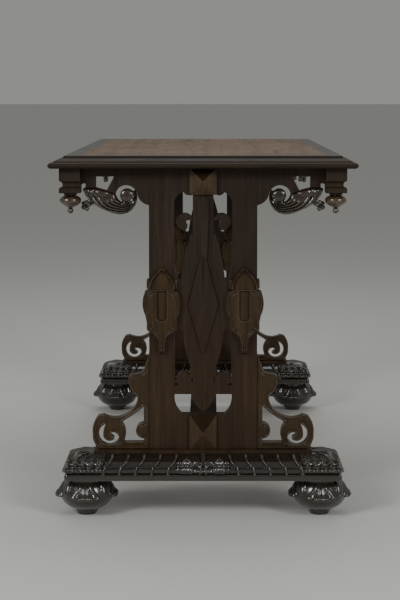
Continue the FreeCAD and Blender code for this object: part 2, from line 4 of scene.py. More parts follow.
import bmesh
import bpy
import numpy as np
from mathutils.geometry import delaunay_2d_cdt
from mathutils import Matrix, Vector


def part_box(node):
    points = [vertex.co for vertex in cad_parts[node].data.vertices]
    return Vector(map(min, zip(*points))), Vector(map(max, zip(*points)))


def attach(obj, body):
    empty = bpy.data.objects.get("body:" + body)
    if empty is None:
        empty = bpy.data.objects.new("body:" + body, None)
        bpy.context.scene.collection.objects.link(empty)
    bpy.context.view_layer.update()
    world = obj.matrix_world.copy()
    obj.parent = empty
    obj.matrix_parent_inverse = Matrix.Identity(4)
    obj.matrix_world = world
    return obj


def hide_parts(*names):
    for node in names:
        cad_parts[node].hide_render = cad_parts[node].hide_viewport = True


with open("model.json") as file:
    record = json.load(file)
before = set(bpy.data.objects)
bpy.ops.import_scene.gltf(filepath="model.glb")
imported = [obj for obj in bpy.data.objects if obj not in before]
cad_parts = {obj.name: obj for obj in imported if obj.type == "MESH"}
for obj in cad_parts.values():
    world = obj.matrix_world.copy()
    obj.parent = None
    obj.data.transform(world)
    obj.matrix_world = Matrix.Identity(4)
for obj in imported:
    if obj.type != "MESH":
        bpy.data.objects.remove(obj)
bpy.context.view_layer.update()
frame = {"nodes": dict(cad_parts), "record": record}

# A carved communion table. The frame is in metres; carving is worked out in millimetres (MM).
# X runs across the table, Y along it, Z up. Each trestle's outer face looks away from the middle.
# A relief function gives how far carving stands out at places on a surface. A curve is a pair of lists,
# places and the values there, for np.interp.

MM = 0.001
ENDS = ("near", "far")
SIDES = ("left", "right")
OTHER_SIDE = {"left": "right", "right": "left"}
SLOTS = {entry["node"]: entry["material_slot"] for entry in frame["record"]["subparts"]}


def box_mm(node):
    """A CAD node's lowest and highest corners in millimetres."""
    return [np.round(np.array(corner) / MM, 3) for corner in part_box(node)]


def depth_mm(node):
    """A CAD node's size along the table, in millimetres."""
    low, high = box_mm(node)
    return high[1] - low[1]


# ---- material nodes ----------------------------------------------------------------------------


class Tree:
    """A short way to write a material's node tree."""

    def __init__(self, name):
        self.material = bpy.data.materials.new(name)
        self.material.use_nodes = True
        self.nodes = self.material.node_tree.nodes
        self.links = self.material.node_tree.links
        self.surface = self.nodes["Principled BSDF"]

    def put(self, socket, value):
        """Link an output to a socket, or set the socket's own value."""
        if isinstance(value, bpy.types.NodeSocket):
            self.links.new(value, socket)
        else:
            socket.default_value = value

    def add(self, kind, *values, **settings):
        """Add a node. Each value is a number, a colour or another node's output, in socket order."""
        node = self.nodes.new("ShaderNode" + kind)
        for key, setting in settings.items():
            setattr(node, key, setting)
        for socket, value in zip(node.inputs, values):
            self.put(socket, value)
        return node

    def feed(self, node, values):
        """Put values into a node's sockets by the sockets' names."""
        for name, value in values.items():
            self.put(node.inputs[name], value)

    def maths(self, operation, first, second, clamp=False):
        """One Math node's output, held between 0 and 1 if clamped."""
        return self.add("Math", first, second, operation=operation, use_clamp=clamp).outputs[0]

    def plus(self, first, second, clamp=False):
        """The sum of two values."""
        return self.maths("ADD", first, second, clamp)

    def times(self, first, second, clamp=False):
        """The product of two values."""
        return self.maths("MULTIPLY", first, second, clamp)

    def noise(self, place, scale, detail=4.0, rough=0.55, distortion=0.0):
        """One noise texture's value."""
        node = self.add("TexNoise")
        shape = {"Scale": scale, "Detail": detail, "Roughness": rough, "Distortion": distortion}
        self.feed(node, {"Vector": place, **shape})
        return node.outputs["Fac"]

    def ramp(self, factor, *stops):
        """A colour ramp through (position, colour) stops."""
        node = self.add("ValToRGB", factor)
        elements = node.color_ramp.elements
        while len(elements) < len(stops):
            elements.new(0.5)
        for element, (position, colour) in zip(elements, stops):
            element.position = position
            element.color = (*colour, 1)
        return node.outputs["Color"]

    def level(self, factor, low, high):
        """Stretch a value between two limits to 0..1. The value falls where low is above high."""
        return self.add("MapRange", factor, low, high).outputs[0]

    def mix(self, factor, first, second, blend="MIX"):
        """Mix two colours."""
        node = self.add("Mix", data_type="RGBA", blend_type=blend)
        self.feed(node, {"Factor": factor})
        colour_a, colour_b = node.inputs[6:8]
        self.put(colour_a, first)
        self.put(colour_b, second)
        return node.outputs[2]


# ---- finishes ----------------------------------------------------------------------------------

GRAIN_STRETCH = 0.055  # along the grain, a pattern runs at this share of its pace across it
STREAKS, FIGURE, CLOUDS, PORES = 95, 16, 5, 620  # scales of noise patterns, in cells per metre
SMEARS, WORN_PATCHES, AGE_WAVER, SCRATCHES = 22, 55, 7, 900
TOP_TINT = (0.66, 0.72, 1.15, 1)  # multiplies the colour, so it is darker and greyer towards the top
TOP_TINT_FROM, TOP_TINT_TO = 0.36, 0.62  # the heights in metres over which the colour turns darker and greyer
# HOLLOW_REACH is how far occlusion looks when shade is painted into hollows.
HOLLOW_REACH = 9 * MM
EDGE_RADIUS = 1.6 * MM
BUMP_DEPTH = 0.35 * MM
NEARBY_SAMPLES = 6

# Each wood's dark, middle and light tone.
BLACK = (0.0080, 0.0058, 0.0036), (0.019, 0.0138, 0.0085), (0.034, 0.025, 0.015)
DUSKY = (0.012, 0.0072, 0.0040), (0.025, 0.0152, 0.0085), (0.044, 0.027, 0.016)
OLIVE = (0.012, 0.0080, 0.0045), (0.028, 0.0190, 0.0105), (0.050, 0.034, 0.019)
BROWN = (0.018, 0.0100, 0.0045), (0.037, 0.0210, 0.0092), (0.064, 0.037, 0.017)
GOLDEN = (0.021, 0.0120, 0.0045), (0.044, 0.0255, 0.0096), (0.075, 0.045, 0.0180)
WARM = (0.028, 0.0165, 0.0075), (0.058, 0.0345, 0.0165), (0.096, 0.058, 0.029)
HONEY = (0.060, 0.0310, 0.0140), (0.160, 0.0900, 0.0450), (0.230, 0.135, 0.072)
# Edge tones. The first lightens eased board edges; the other two lighten carved ridges and rims, partly
# from use and partly as painted highlight.
WORN, RUBBED_WEAR_AND_HIGHLIGHT, PALE_WEAR_AND_HIGHLIGHT = (0.10, 0.068, 0.042), (0.17, 0.135, 0.095), (0.19, 0.165, 0.13)
DARK_STEEL, LIGHT_STEEL = (0.2, 0.2, 0.2), (0.4, 0.39, 0.38)


def tint(colour, share=1):
    """A colour times a share, with an alpha of 1."""
    return (*[channel * share for channel in colour], 1)


def grain_place(tree, along):
    """Object coordinates, and the same drawn out along the grain, which runs along x, y or z."""
    place = tree.add("TexCoord").outputs["Object"]
    mapping = tree.add("Mapping", place)
    stretch = [GRAIN_STRETCH if axis == along else 1.0 for axis in "xyz"]
    tree.feed(mapping, {"Scale": stretch})
    return place, mapping.outputs["Vector"]


def bare_wood(tree, place, grain, streaks, pores, tones):
    """The wood's own colour: streaks over a broad figure, darker in clouds and in the pores."""
    dark, mid, light = tones
    figure = tree.noise(grain, FIGURE, detail=3, rough=0.5, distortion=1.6)
    cloud = tree.level(tree.noise(place, CLOUDS, detail=3), low=0.3, high=0.75)
    blend = tree.plus(tree.times(streaks, 0.6), tree.times(figure, 0.4))
    colour = tree.ramp(blend, (0.34, dark), (0.5, mid), (0.66, light))
    colour = tree.mix(cloud, colour, tree.mix(0.6, colour, tint(dark)))
    return tree.mix(tree.times(pores, 0.45), colour, tint(dark, 0.35))


def tint_towards_top(tree, colour, place, grain):
    """A darker, greyer colour towards the top of a trestle, from a line that wavers with the grain."""
    height = tree.add("SeparateXYZ", place).outputs["Z"]
    waver = tree.level(tree.noise(grain, AGE_WAVER, detail=3), low=0.3, high=0.7)
    towards_top = tree.level(tree.plus(height, tree.times(waver, 0.16)), TOP_TINT_FROM, TOP_TINT_TO)
    return tree.mix(tree.times(towards_top, 0.8), colour, TOP_TINT, "MULTIPLY")


def crest(tree):
    """How sharply carving bends here, as mark_crests stored it."""
    return tree.add("Attribute", attribute_name="crest").outputs["Fac"]


def paint_hollow_shade(tree, colour, dark, strength):
    """Painted shade in deep places, from occlusion, and in grooves of carving, from the crest value."""
    shade = tree.add("AmbientOcclusion", samples=NEARBY_SAMPLES)
    tree.feed(shade, {"Distance": HOLLOW_REACH})
    hollow = tree.level(shade.outputs["AO"], low=0.8, high=0.25)
    groove = tree.level(crest(tree), low=-0.06, high=-0.35)
    painted_shade = tree.times(tree.maths("MAXIMUM", hollow, groove), strength)
    return tree.mix(painted_shade, colour, tint(dark, 0.2))


def turned_edge(tree):
    """Bright where a board's edge turns within a small radius."""
    bevel = tree.add("Bevel", EDGE_RADIUS, samples=NEARBY_SAMPLES)
    own_normal = tree.add("NewGeometry").outputs["Normal"]
    dot = tree.add("VectorMath", bevel.outputs[0], own_normal, operation="DOT_PRODUCT")
    return tree.level(dot.outputs["Value"], low=0.985, high=0.75)


def wear_and_highlight_edges(tree, colour, place, worn_and_lit, strength, edge):
    """Lighter tone in patches along edges and ridges: on eased board edges from use, on carving partly
    from use and partly painted highlight.
    """
    patchy = tree.level(tree.noise(place, WORN_PATCHES, detail=5), low=0.36, high=0.66)
    edge = tree.times(edge, tree.plus(patchy, 0.25, clamp=True))
    return tree.mix(tree.times(edge, strength, clamp=True), colour, tint(worn_and_lit))


def shade_upward_facets(tree, colour, dark, shine, strength):
    """Painted shade on facets that tip upwards: a darker colour and less shine there. Gives colour and
    shine.
    """
    upward = tree.add("SeparateXYZ", tree.add("NewGeometry").outputs["True Normal"]).outputs["Z"]
    facet_shade = tree.times(tree.level(upward, low=0.05, high=0.2), strength)
    dulled = tree.maths("SUBTRACT", shine, tree.times(facet_shade, shine), clamp=True)
    return tree.mix(facet_shade, colour, tint(dark, 0.5)), dulled


def lay_polish(tree, place, streaks, pores, polish, coat):
    """Smeared polish over open pores, and the fine relief of the grain under it."""
    smear = tree.noise(place, SMEARS)
    rough = tree.plus(polish, tree.times(smear, 0.22))
    height = tree.maths("SUBTRACT", tree.times(streaks, 0.35), tree.times(pores, 0.5))
    bump = tree.add("Bump")
    tree.feed(bump, {"Strength": 0.22, "Distance": BUMP_DEPTH, "Height": height})
    tree.feed(tree.surface, {
        "Roughness": tree.plus(rough, tree.times(pores, 0.12), clamp=True),
        "Coat Weight": coat,
        "Coat Roughness": tree.plus(0.05, tree.times(smear, 0.18), clamp=True),
        "Normal": bump.outputs["Normal"],
    })


def wood(name, tones, along, polish, coat, shine=0.5, wear_and_highlight=0.35, worn_and_lit=WORN, carved=0, top_tinted=False, upward_shade=0):
    """Polished wood with streaked grain. Carved sets the painted shade in hollows and grooves, and on
    carving makes ridges rather than board edges lighten; waxed sets the painted shade on upward facets;
    wear sets how strongly edges and ridges lighten, partly from use and, on carving, partly as painted
    highlight.
    """
    tree = Tree(name)
    place, grain = grain_place(tree, along)
    streaks = tree.noise(grain, STREAKS, detail=7, rough=0.62, distortion=0.9)
    pores = tree.level(tree.noise(grain, PORES, detail=3, rough=0.6), low=0.60, high=0.72)
    colour = bare_wood(tree, place, grain, streaks, pores, tones)
    if top_tinted:
        colour = tint_towards_top(tree, colour, place, grain)
    # Painted shade in hollows and grooves of carving.
    if carved:
        colour = paint_hollow_shade(tree, colour, tones[0], carved)
    if wear_and_highlight:
        # On carving the mask is the crest value: ridges lighten partly from use and partly as painted
        # highlight.
        edge = tree.level(crest(tree), low=0.10, high=0.42) if carved else turned_edge(tree)
        colour = wear_and_highlight_edges(tree, colour, place, worn_and_lit, wear_and_highlight, edge)
    # Painted shade on facets that tip upwards.
    if upward_shade:
        colour, shine = shade_upward_facets(tree, colour, tones[0], shine, upward_shade)
    tree.feed(tree.surface, {"Base Color": colour, "Specular IOR Level": shine})
    lay_polish(tree, place, streaks, pores, polish, coat)
    return tree.material


def dull_steel():
    """Screws and bolts: grey steel with a light brushing."""
    tree = Tree("dull_steel")
    scratches = tree.noise(tree.add("TexCoord").outputs["Object"], SCRATCHES, detail=2)
    tree.feed(tree.surface, {
        "Base Color": tree.ramp(scratches, (0.3, DARK_STEEL), (0.7, LIGHT_STEEL)),
        "Metallic": 1.0,
        "Roughness": tree.plus(0.35, tree.times(scratches, 0.3)),
    })
    return tree.material


def make_materials():
    """Every finish of the table: the record's slots, some of them once for each way of the grain."""
    border = dict(polish=0.26, coat=0.1, shine=0.35, wear_and_highlight=0)
    flat = dict(coat=0, shine=0.22)
    # On panels and carving, hollows get painted shade and ridges lighten partly from use and partly as
    # painted highlight.
    panel_finish = dict(coat=0.05, shine=0.24, wear_and_highlight=0.6, worn_and_lit=RUBBED_WEAR_AND_HIGHLIGHT, carved=0.4)
    carving = dict(worn_and_lit=PALE_WEAR_AND_HIGHLIGHT, carved=0.85)
    return {
        "field": wood("field_wood", HONEY, "y", polish=0.34, coat=0, shine=0.3, wear_and_highlight=0),
        "border": wood("border_wood", DUSKY, "y", **border),
        "border_across": wood("border_wood_across", DUSKY, "x", **border),
        "moulding": wood("moulding_wood", DUSKY, "y", polish=0.40, **flat),
        "moulding_across": wood("moulding_wood_across", DUSKY, "x", polish=0.40, **flat),
        # Trestle and boss turn darker and greyer towards the top.
        "trestle": wood("trestle_wood", BROWN, "z", polish=0.36, **flat, top_tinted=True),
        # The boss and the raised facets get painted shade on their upward facets.
        "boss": wood("boss_wood", BROWN, "z", polish=0.36, **flat, top_tinted=True, upward_shade=0.8),
        "raised_facets": wood("facet_wood", WARM, "z", polish=0.32, **flat, upward_shade=0.8),
        "panel": wood("panel_wood", GOLDEN, "z", polish=0.30, **panel_finish),
        "frame_rails": wood("rail_wood", BROWN, "x", polish=0.42, **flat),
        "side_rails": wood("side_rail_wood", BROWN, "y", polish=0.42, **flat),
        "carving": wood("carved_wood", OLIVE, "z", polish=0.16, coat=0.6, wear_and_highlight=0.6, **carving),
        "base": wood("base_wood", BLACK, "x", polish=0.12, coat=0.9, wear_and_highlight=1.0, **carving),
        "feet": wood("foot_wood", BLACK, "z", polish=0.15, coat=0.9, wear_and_highlight=0.3, **carving),
        "pendants": wood("pendant_wood", WARM, "z", polish=0.15, coat=0.9, wear_and_highlight=0, **carving),
        "steel": dull_steel(),
    }


MATERIALS = make_materials()


# ---- meshes ------------------------------------------------------------------------------------

SMOOTH_LIMIT, SMOOTHER_LIMIT, SMOOTHEST_LIMIT = 38, 50, 60  # degrees that an edge may turn
CREST_REACH = 2 * MM
CREST_PASSES = 2


def smooth_shade(mesh, limit):
    """Shade a mesh smoothly, apart from edges that turn more than the limit in degrees."""
    build = bmesh.new()
    build.from_mesh(mesh)
    for face in build.faces:
        face.smooth = True
    for edge in build.edges:
        if len(edge.link_faces) == 2 and edge.calc_face_angle(0) > math.radians(limit):
            edge.smooth = False
    build.to_mesh(mesh)
    build.free()


def read_values(collection, key, width, kind=float):
    """One property of every item of a mesh collection, as an array of rows."""
    values = np.empty(len(collection) * width, kind)
    collection.foreach_get(key, values)
    return values.reshape(-1, width)


def mark_crests(mesh):
    """Store how far the surface turns over the crest reach: ridges above zero, grooves below."""
    place, normal = (read_values(mesh.vertices, key, 3) for key in ("co", "normal"))
    start, end = read_values(mesh.edges, "vertices", 2, int).T
    run = place[end] - place[start]
    square = np.maximum((run**2).sum(1), 1e-12)
    count = len(place)
    degree = np.maximum(np.bincount(start, minlength=count) + np.bincount(end, minlength=count), 1)

    def gathered(at_start, at_end):
        return (np.bincount(start, at_start, count) + np.bincount(end, at_end, count)) / degree

    bend = gathered(-(normal[start] * run).sum(1) / square, (normal[end] * run).sum(1) / square)
    for _ in range(CREST_PASSES):
        bend = (bend + gathered(bend[end], bend[start])) / 2
    mesh.attributes.new("crest", "FLOAT", "POINT").data.foreach_set("value", bend * CREST_REACH)


def new_piece(name, shell, place, finish, node, limit=SMOOTH_LIMIT):
    """Make a piece from a shell in millimetres, set down at a place in metres, in a CAD node's stead."""
    points, faces = shell
    mesh = bpy.data.meshes.new(name)
    mesh.from_pydata((points * MM + place).tolist(), [], faces)
    mesh.validate()
    smooth_shade(mesh, limit)
    mark_crests(mesh)
    mesh.materials.append(MATERIALS[finish])
    piece = bpy.data.objects.new(name, mesh)
    bpy.context.scene.collection.objects.link(piece)
    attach(piece, "root")
    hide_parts(node)


def join_shells(shells):
    """Put several (points, faces) shells together as one."""
    points, faces, count = [], [], 0
    for shell_points, shell_faces in shells:
        points.append(shell_points)
        faces += [[index + count for index in face] for face in shell_faces]
        count += len(shell_points)
    return np.concatenate(points), faces


def mirrored(shell):
    """The same shell on the other side of the table's long axis."""
    points, faces = shell
    return points * [-1, 1, 1], [list(reversed(face)) for face in faces]


def climb(value, start, end):
    """Smooth step from 0 where a value is at its start to 1 at its end."""
    share = np.clip((value - start) / (end - start), 0, 1)
    return share * share * (3 - 2 * share)


def hill(value, middle, width):
    """A smooth bump of height 1 round a middle."""
    return np.exp(-(((value - middle) / width) ** 2))


def rounded(value, half):
    """A round-backed ridge of height 1 and the given half width."""
    return np.sqrt(np.clip(1 - (value / half) ** 2, 0, 1))


def ridge_row(value, pitch, offset, half):
    """Round-backed ridges side by side at a pitch. Half is a ridge's half width as a share of it."""
    return rounded(((value + offset) / pitch) % 1 - 0.5, half)


def softened(corners, passes):
    """Cut the corners of an open polyline again and again, keeping its two ends."""
    line = np.array(corners, float)
    for _ in range(passes):
        near = line[:-1] * 0.75 + line[1:] * 0.25
        far = line[:-1] * 0.25 + line[1:] * 0.75
        line = np.vstack([line[:1], np.stack([near, far], 1).reshape(-1, 2), line[-1:]])
    return line


def even_steps(line, spacing):
    """Points along a polyline at an even spacing."""
    run = np.concatenate([[0], np.cumsum(np.hypot(*np.diff(line, axis=0).T))])
    steps = np.linspace(0, run[-1], int(run[-1] / spacing) + 2)
    return np.column_stack([np.interp(steps, run, line[:, 0]), np.interp(steps, run, line[:, 1])])


def ring_faces(rows, columns):
    """Quads over a closed tube of rows, each a ring of columns, with a flat cap at both ends."""
    faces = []
    for row in range(rows - 1):
        for column in range(columns):
            after = (column + 1) % columns
            low, high = row * columns, (row + 1) * columns
            faces.append((low + column, low + after, high + after, high + column))
    faces.append(tuple(reversed(range(columns))))
    faces.append(tuple((rows - 1) * columns + column for column in range(columns)))
    return faces


def lathe(radius, z, columns):
    """A closed solid round the Z axis. Its radius may change with the turn as well as the height."""
    angle = np.arange(columns) / columns * 2 * math.pi
    points = np.stack(np.broadcast_arrays(radius * np.cos(angle), radius * np.sin(angle), z), 2)
    return points.reshape(-1, 3), ring_faces(len(z), columns)


def turned(profile, columns):
    """A plain turned solid from points (radius, height), listed upwards."""
    radius, z = np.asarray(profile).T[:, :, None]
    return lathe(radius, z, columns)


def ball(centre, radius, rings=14):
    """A small sphere."""
    swing = np.linspace(0, math.pi, rings)[1:-1]
    points, faces = turned(np.column_stack([np.sin(swing), -np.cos(swing)]), 2 * rings)
    return points * radius + centre, faces


# ---- carving on flat boards --------------------------------------------------------------------

FLAT_WITHIN = 0.02
ROW_PITCH, RIM_CLEARANCE = 0.866, 0.55  # shares of the spacing: between rows, and from the outline


def welded(node):
    """A CAD node's points in millimetres and its triangles, with shared corners."""
    mesh = frame["nodes"][node].data
    raw = np.array([v.co for v in mesh.vertices]) / MM
    points, index = np.unique(np.round(raw, 3), axis=0, return_inverse=True)
    index = index.ravel()
    faces = [[index[v] for v in polygon.vertices] for polygon in mesh.polygons]
    return points, faces


def flat_outlines(node, facing):
    """The outlines of a board's flat face, as closed (x, z) loops. Facing is the normal's sign in Y."""
    points, faces = welded(node)
    level = points[:, 1].min() if facing < 0 else points[:, 1].max()
    on_face = np.abs(points[:, 1] - level) < FLAT_WITHIN
    edges = set()
    for face in faces:
        if all(on_face[v] for v in face):
            edges.update(zip(face, face[1:] + face[:1]))
    following = {a: b for a, b in edges if (b, a) not in edges}
    loops = []
    while following:
        start, here = following.popitem()
        loop = [start]
        while here != start:
            loop.append(here)
            here = following.pop(here)
        loops.append(points[loop][:, [0, 2]])
    return loops


def subdivided(loop, spacing):
    """A closed loop with no side longer than the spacing."""
    result = []
    for start, end in zip(loop, np.roll(loop, -1, axis=0)):
        parts = max(1, int(math.ceil(np.linalg.norm(end - start) / spacing)))
        result += [start + (end - start) * k / parts for k in range(parts)]
    return np.array(result)


def edge_distance(points, starts, ends):
    """Each point's distance to the nearest of some straight sides."""
    side = ends - starts
    length = np.maximum((side**2).sum(1), 1e-12)
    best = np.full(len(points), np.inf)
    for start, run, square in zip(starts, side, length):
        along = np.clip(((points - start) @ run) / square, 0, 1)
        gap = points - (start + along[:, None] * run)
        best = np.minimum(best, np.hypot(gap[:, 0], gap[:, 1]))
    return best


def inside(points, starts, ends):
    """Which points lie inside the closed outlines."""
    result = np.zeros(len(points), bool)
    for (x1, z1), (x2, z2) in zip(starts, ends):
        if z1 != z2:
            spans = (points[:, 1] < z1) != (points[:, 1] < z2)
            crossing = x1 + (points[:, 1] - z1) * (x2 - x1) / (z2 - z1)
            result ^= spans & (points[:, 0] < crossing)
    return result


def triangle_grid(low, high, spacing):
    """Points of an even triangle grid over a rectangle."""
    rows = []
    for row, z in enumerate(np.arange(low[1], high[1], spacing * ROW_PITCH)):
        x = np.arange(low[0] + (row % 2) * spacing / 2, high[0], spacing)
        rows.append(np.column_stack([x, np.full(len(x), z)]))
    return np.concatenate(rows)


def fill(loops, spacing):
    """Cover the region inside some outlines with fine triangles: points, faces and edge distances."""
    loops = [subdivided(loop, spacing) for loop in loops]
    starts = np.concatenate(loops)
    ends = np.concatenate([np.roll(loop, -1, axis=0) for loop in loops])
    grid = triangle_grid(starts.min(0), starts.max(0), spacing)
    grid = grid[inside(grid, starts, ends)]
    grid = grid[edge_distance(grid, starts, ends) > spacing * RIM_CLEARANCE]
    sides, count = [], 0
    for loop in loops:
        sides += [(count + k, count + (k + 1) % len(loop)) for k in range(len(loop))]
        count += len(loop)
    corners = [tuple(p) for p in np.concatenate([starts, grid])]
    places, _, triangles, *_ = delaunay_2d_cdt(corners, sides, [], 0, 1e-5)
    places = np.array([tuple(p) for p in places])
    triangles = np.array(triangles)
    triangles = triangles[inside(places[triangles].mean(axis=1), starts, ends)]
    return places, triangles, edge_distance(places, starts, ends)


def carved_board(loops, spacing, outer, inner):
    """A closed shell over some outlines. Outer and inner give each face's depth from the middle plane."""
    places, triangles, distance = fill(loops, spacing)
    x, z = places.T
    a, b, c = places[triangles[:, 0]], places[triangles[:, 1]], places[triangles[:, 2]]
    turn = (b - a)[:, 0] * (c - a)[:, 1] - (b - a)[:, 1] * (c - a)[:, 0]
    triangles = np.where((turn > 0)[:, None], triangles, triangles[:, ::-1])
    front = np.column_stack([x, -outer(x, z, distance), z])
    back = np.column_stack([x, inner(x, z, distance), z])
    count = len(places)
    edges = set()
    for p, q, r in triangles.tolist():
        edges.update([(p, q), (q, r), (r, p)])
    walls = [[q, p, p + count, q + count] for p, q in edges if (q, p) not in edges]
    faces = triangles.tolist() + (triangles[:, ::-1] + count).tolist() + walls
    return np.concatenate([front, back]), faces


# ---- carved feet -------------------------------------------------------------------------------

# Heights are above the floor, widths are arc lengths.
FOOT_PROFILE = [  # (radius, height)
    (19, 0), (21, 1), (21.5, 5.5), (24, 6.5), (24.5, 10), (29, 13), (41, 18), (50, 26), (56, 36),
    (58, 46), (55, 57), (51, 66), (46.5, 71), (44, 76), (45, 82),
]
FOOT_STEP, FOOT_COLUMNS = 1.0, 336
LEAF_ARC_RADIUS = 55
LEAF_TIP, LEAF_CURL = 35.5, 44
LEAF_HALF_WIDTH = [34, 42, 50, 58, 70, 80], [29, 31, 27, 22, 16, 14]
LEAF_BODY = [36, 42, 56, 72], [3.5, 2.0, -0.4, -1.6]
LEAF_LOBES = [38, 56, 74], [1.15, 0.9, 0.5]
DART_LOW, DART_HIGH = 46, 81
DART_HALF_WIDTH = [46, 54, 66, 80], [5.0, 8.0, 6.5, 5.0]


def arc_from(turn, middle):
    """Arc length round a foot from the nearest of four lines, at a share of each quarter turn."""
    return ((turn - middle + 0.5) % 1 - 0.5) * math.pi / 2 * LEAF_ARC_RADIUS


def foot_leaf(turn, z):
    """Four acanthus leaves that hang tip down: lobes beside a split stem, over a scalloped, curled tip."""
    share = np.abs(arc_from(turn, 0)) / np.interp(z, *LEAF_HALF_WIDTH)
    lobes = np.abs(np.sin(math.pi * np.clip((share - 0.10) / 0.45, 0, 2)))
    lip = LEAF_TIP + 6 * share**2 + 2.5 * (1 - lobes)
    cover = climb(share, 1, 0.92) * climb(z, lip, lip + 1.5)
    curl = 5.0 * hill(z, LEAF_CURL, 5.5) * np.clip(1 - share**2, 0, 1)
    stem = 2.6 * rounded(share, 0.11) - 1.6 * hill(share, 0, 0.03)
    ridges = 4.2 * lobes**0.55 * np.interp(z, *LEAF_LOBES) - 1.2 * hill(lobes, 1.0, 0.05)
    return cover * (np.interp(z, *LEAF_BODY) + curl + stem + ridges)


def foot_dart(turn, z):
    """A round-backed dart between each two leaves."""
    ends = climb(z, DART_LOW, DART_LOW + 3.5) * climb(z, DART_HIGH, DART_HIGH - 12)
    return 5.0 * rounded(arc_from(turn, 0.5), np.interp(z, *DART_HALF_WIDTH)) * ends


def foot_shell():
    """A bun foot wrapped in leaves and darts. The turn is counted in quarters."""
    radius, z = even_steps(softened(FOOT_PROFILE, 3), FOOT_STEP).T[:, :, None]
    turn = np.arange(FOOT_COLUMNS) / FOOT_COLUMNS * 4
    return lathe(radius + np.maximum(foot_leaf(turn, z), foot_dart(turn, z)), z, FOOT_COLUMNS)


def make_feet():
    """The four feet share one shell."""
    shell = foot_shell()
    for end in ENDS:
        for side in SIDES:
            node = f"{end}_foot_{side}"
            low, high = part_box(node)
            place = np.array([(low.x + high.x) / 2, (low.y + high.y) / 2, 0])
            new_piece(f"carved_{node}", shell, place, "feet", node, SMOOTHEST_LIMIT)


# ---- carved bases ------------------------------------------------------------------------------

END_RUN, FRONT_RUN = 47, 30  # how far a base steps in to its top, at its ends and along its faces
CORNER_RADIUS = 6
BASE_PROFILE = [  # (share of the run, height above the base's underside)
    (0, 0), (0, 12.2), (0.12, 13.2), (0.14, 14.2), (0.02, 15.4), (-0.05, 20), (-0.02, 25), (0.1, 26.5),
    (0.17, 29), (0.19, 34), (0.2, 37), (0.3, 39.5), (0.5, 43.5), (0.75, 47.5), (0.97, 49.8), (1, 50),
]
MEAN_RUN = 40  # the run at which the profile is smoothed and stepped
BASE_STEP = 1.05
FACE_STEPS, END_STEPS, CORNER_STEPS = 560, 104, 8
STEADY_REACH = 7  # steps of the profile to each side
TORUS_SHARE = 0.05  # how far the torus bulges out past the band, as a share of the run
BASE_LOW, BASE_HIGH = box_mm("near_base")
BASE_X = BASE_HIGH[0] - TORUS_SHARE * END_RUN
BASE_Y = (BASE_HIGH[1] - BASE_LOW[1]) / 2 - TORUS_SHARE * FRONT_RUN

# Places across are from the middle of a face, and heights are above the base's underside.
RIBS, RIB_STEP, RIB_FIRST, RIB_LEAN = 5, 33.6, 74, 18
RIB_FOOT, RIB_BELLY, RIB_HEAD = 14.5, 31, 46
LOBE_PITCH, SCALLOP_PITCH, CURL_PITCH = 17, 18, 24
LOBE_SIZE = [14, 22, 34, 50], [0.55, 0.7, 1.0, 0.8]
CORNER_SWEEP, CORNER_EDGE, CORNER_EDGE_DRIFT = 38, 217, 15
CORNER_FULLNESS = [13, 20, 27, 31, 37, 42, 47, 50], [-2, -4, -2, 1.5, 2.5, 3.0, 1.5, -0.5]
SHELL_AT, SHELL_FOOT = 34, 16
SIDE_LEAF_AT = 50
MIDDLE_BEADS, BEAD_FIRST, BEAD_STEP, BEAD_HEIGHT = 6, 3.3, 6.5, 20.5


def base_stations():
    """Plan stations round a base: (share of half width, share of half depth, normal x, normal y).

    The second half of the ring is the first, turned half round.
    """
    front = [(x, -1, 0, -1) for x in np.linspace(-1, 1, FACE_STEPS)]
    right = [(1, y, 1, 0) for y in np.linspace(-1, 1, END_STEPS)]
    swing = np.linspace(0, math.pi / 2, CORNER_STEPS + 1)[1:-1]
    first_corner = [(1, -1, math.sin(q), -math.cos(q)) for q in swing]
    second_corner = [(1, 1, math.cos(q), math.sin(q)) for q in swing]
    half_ring = np.array(front + first_corner + right + second_corner, float)
    return np.concatenate([half_ring, -half_ring])


def rib_relief(x, z):
    """The leaning S-shaped ribs on the long faces, each with a knob at its head and its foot."""
    head, foot = hill(z, RIB_HEAD, 3.0), hill(z, RIB_FOOT, 2.2)
    half = 3.0 + 1.4 * head + 1.6 * foot
    rise = 4.4 + 4.8 * hill(z, RIB_BELLY, 6) + 2.2 * head + 1.4 * foot
    lean = RIB_LEAN * climb(z, 19, RIB_HEAD)
    ridge = np.zeros_like(x)
    for k in range(RIBS):
        gap = np.abs(x) - (RIB_FIRST + k * RIB_STEP - lean)
        ridge = np.maximum(ridge, rounded(gap, half))
    return rise * ridge * climb(z, 11, 13) * climb(z, 48.5, 47)


def lobes_relief(across, z):
    """Overlapping leaf blades side by side, each with a keel and fine veins."""
    share = (across / LOBE_PITCH) % 1
    blade = np.where(share < 0.3, share / 0.3, (1 - share) / 0.7)
    veins = 0.9 * np.abs(np.sin(3 * math.pi * share))
    return np.interp(z, *LOBE_SIZE) * (3.8 * climb(blade, 0, 1) ** 0.7 - veins)


